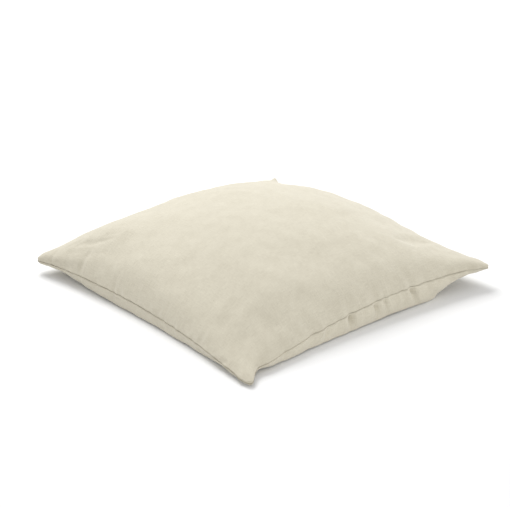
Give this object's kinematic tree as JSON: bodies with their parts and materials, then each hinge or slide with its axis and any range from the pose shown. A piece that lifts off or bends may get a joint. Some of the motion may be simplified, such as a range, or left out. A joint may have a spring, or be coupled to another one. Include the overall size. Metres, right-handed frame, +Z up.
{
  "type": "floor cushion",
  "caption": "Square knife-edge floor cushion: plain natural linen cover with a concealed zip along one side, over a separate feather-filled inner pad.",
  "frame": {"origin": "on the floor, under the middle of the cushion", "axes": "+Z up from the floor; +Y towards the side that holds the zip; +X to the right when the zip is behind"},
  "size_m": [0.67, 0.67, 0.155],
  "materials": {
    "linen": "undyed plain-weave linen with slubs, matte",
    "linen_thread": "undyed spun sewing thread",
    "label_tape": "blank woven satin tape",
    "zip_tape": "fine herringbone woven polyester tape",
    "zip_nylon": "smooth moulded and coiled nylon",
    "zip_metal": "die-cast zinc, painted to match the tape, satin",
    "pad_cotton": "tightly woven downproof cotton, matte",
    "pad_thread": "white spun sewing thread",
    "feather": "loose white feathers and down"
  },
  "bodies": {
    "cushion": {"cover_top_panel": "linen", "cover_bottom_panel": "linen", "cover_seam_thread": "linen_thread", "care_label": "label_tape", "zip_tape_upper": "zip_tape", "zip_tape_lower": "zip_tape", "zip_coil_upper": "zip_nylon", "zip_coil_lower": "zip_nylon", "zip_sewing_thread": "linen_thread", "zip_end_tacks": "linen_thread", "zip_top_stops": "zip_nylon", "zip_bottom_stop": "zip_nylon", "pad_casing_top": "pad_cotton", "pad_casing_bottom": "pad_cotton", "pad_seam_thread": "pad_thread", "pad_label": "label_tape", "pad_fill": "feather"},
    "slider": {"zip_slider": "zip_metal"},
    "pull": {"zip_pull": "zip_metal"}
  },
  "joints": [
    {"name": "slider_travel", "type": "hinge", "parent": "cushion", "child": "slider", "pos_m": [0, 3.44336, 0.04], "axis": [0, 0, 1], "range_deg": [0, 8.06]},
    {"name": "pull_swing", "type": "hinge", "parent": "slider", "child": "pull", "pos_m": [-0.21964, 0.32723, 0.04], "axis": [0, 0, 1], "range_deg": [-180, 0]}
  ]
}
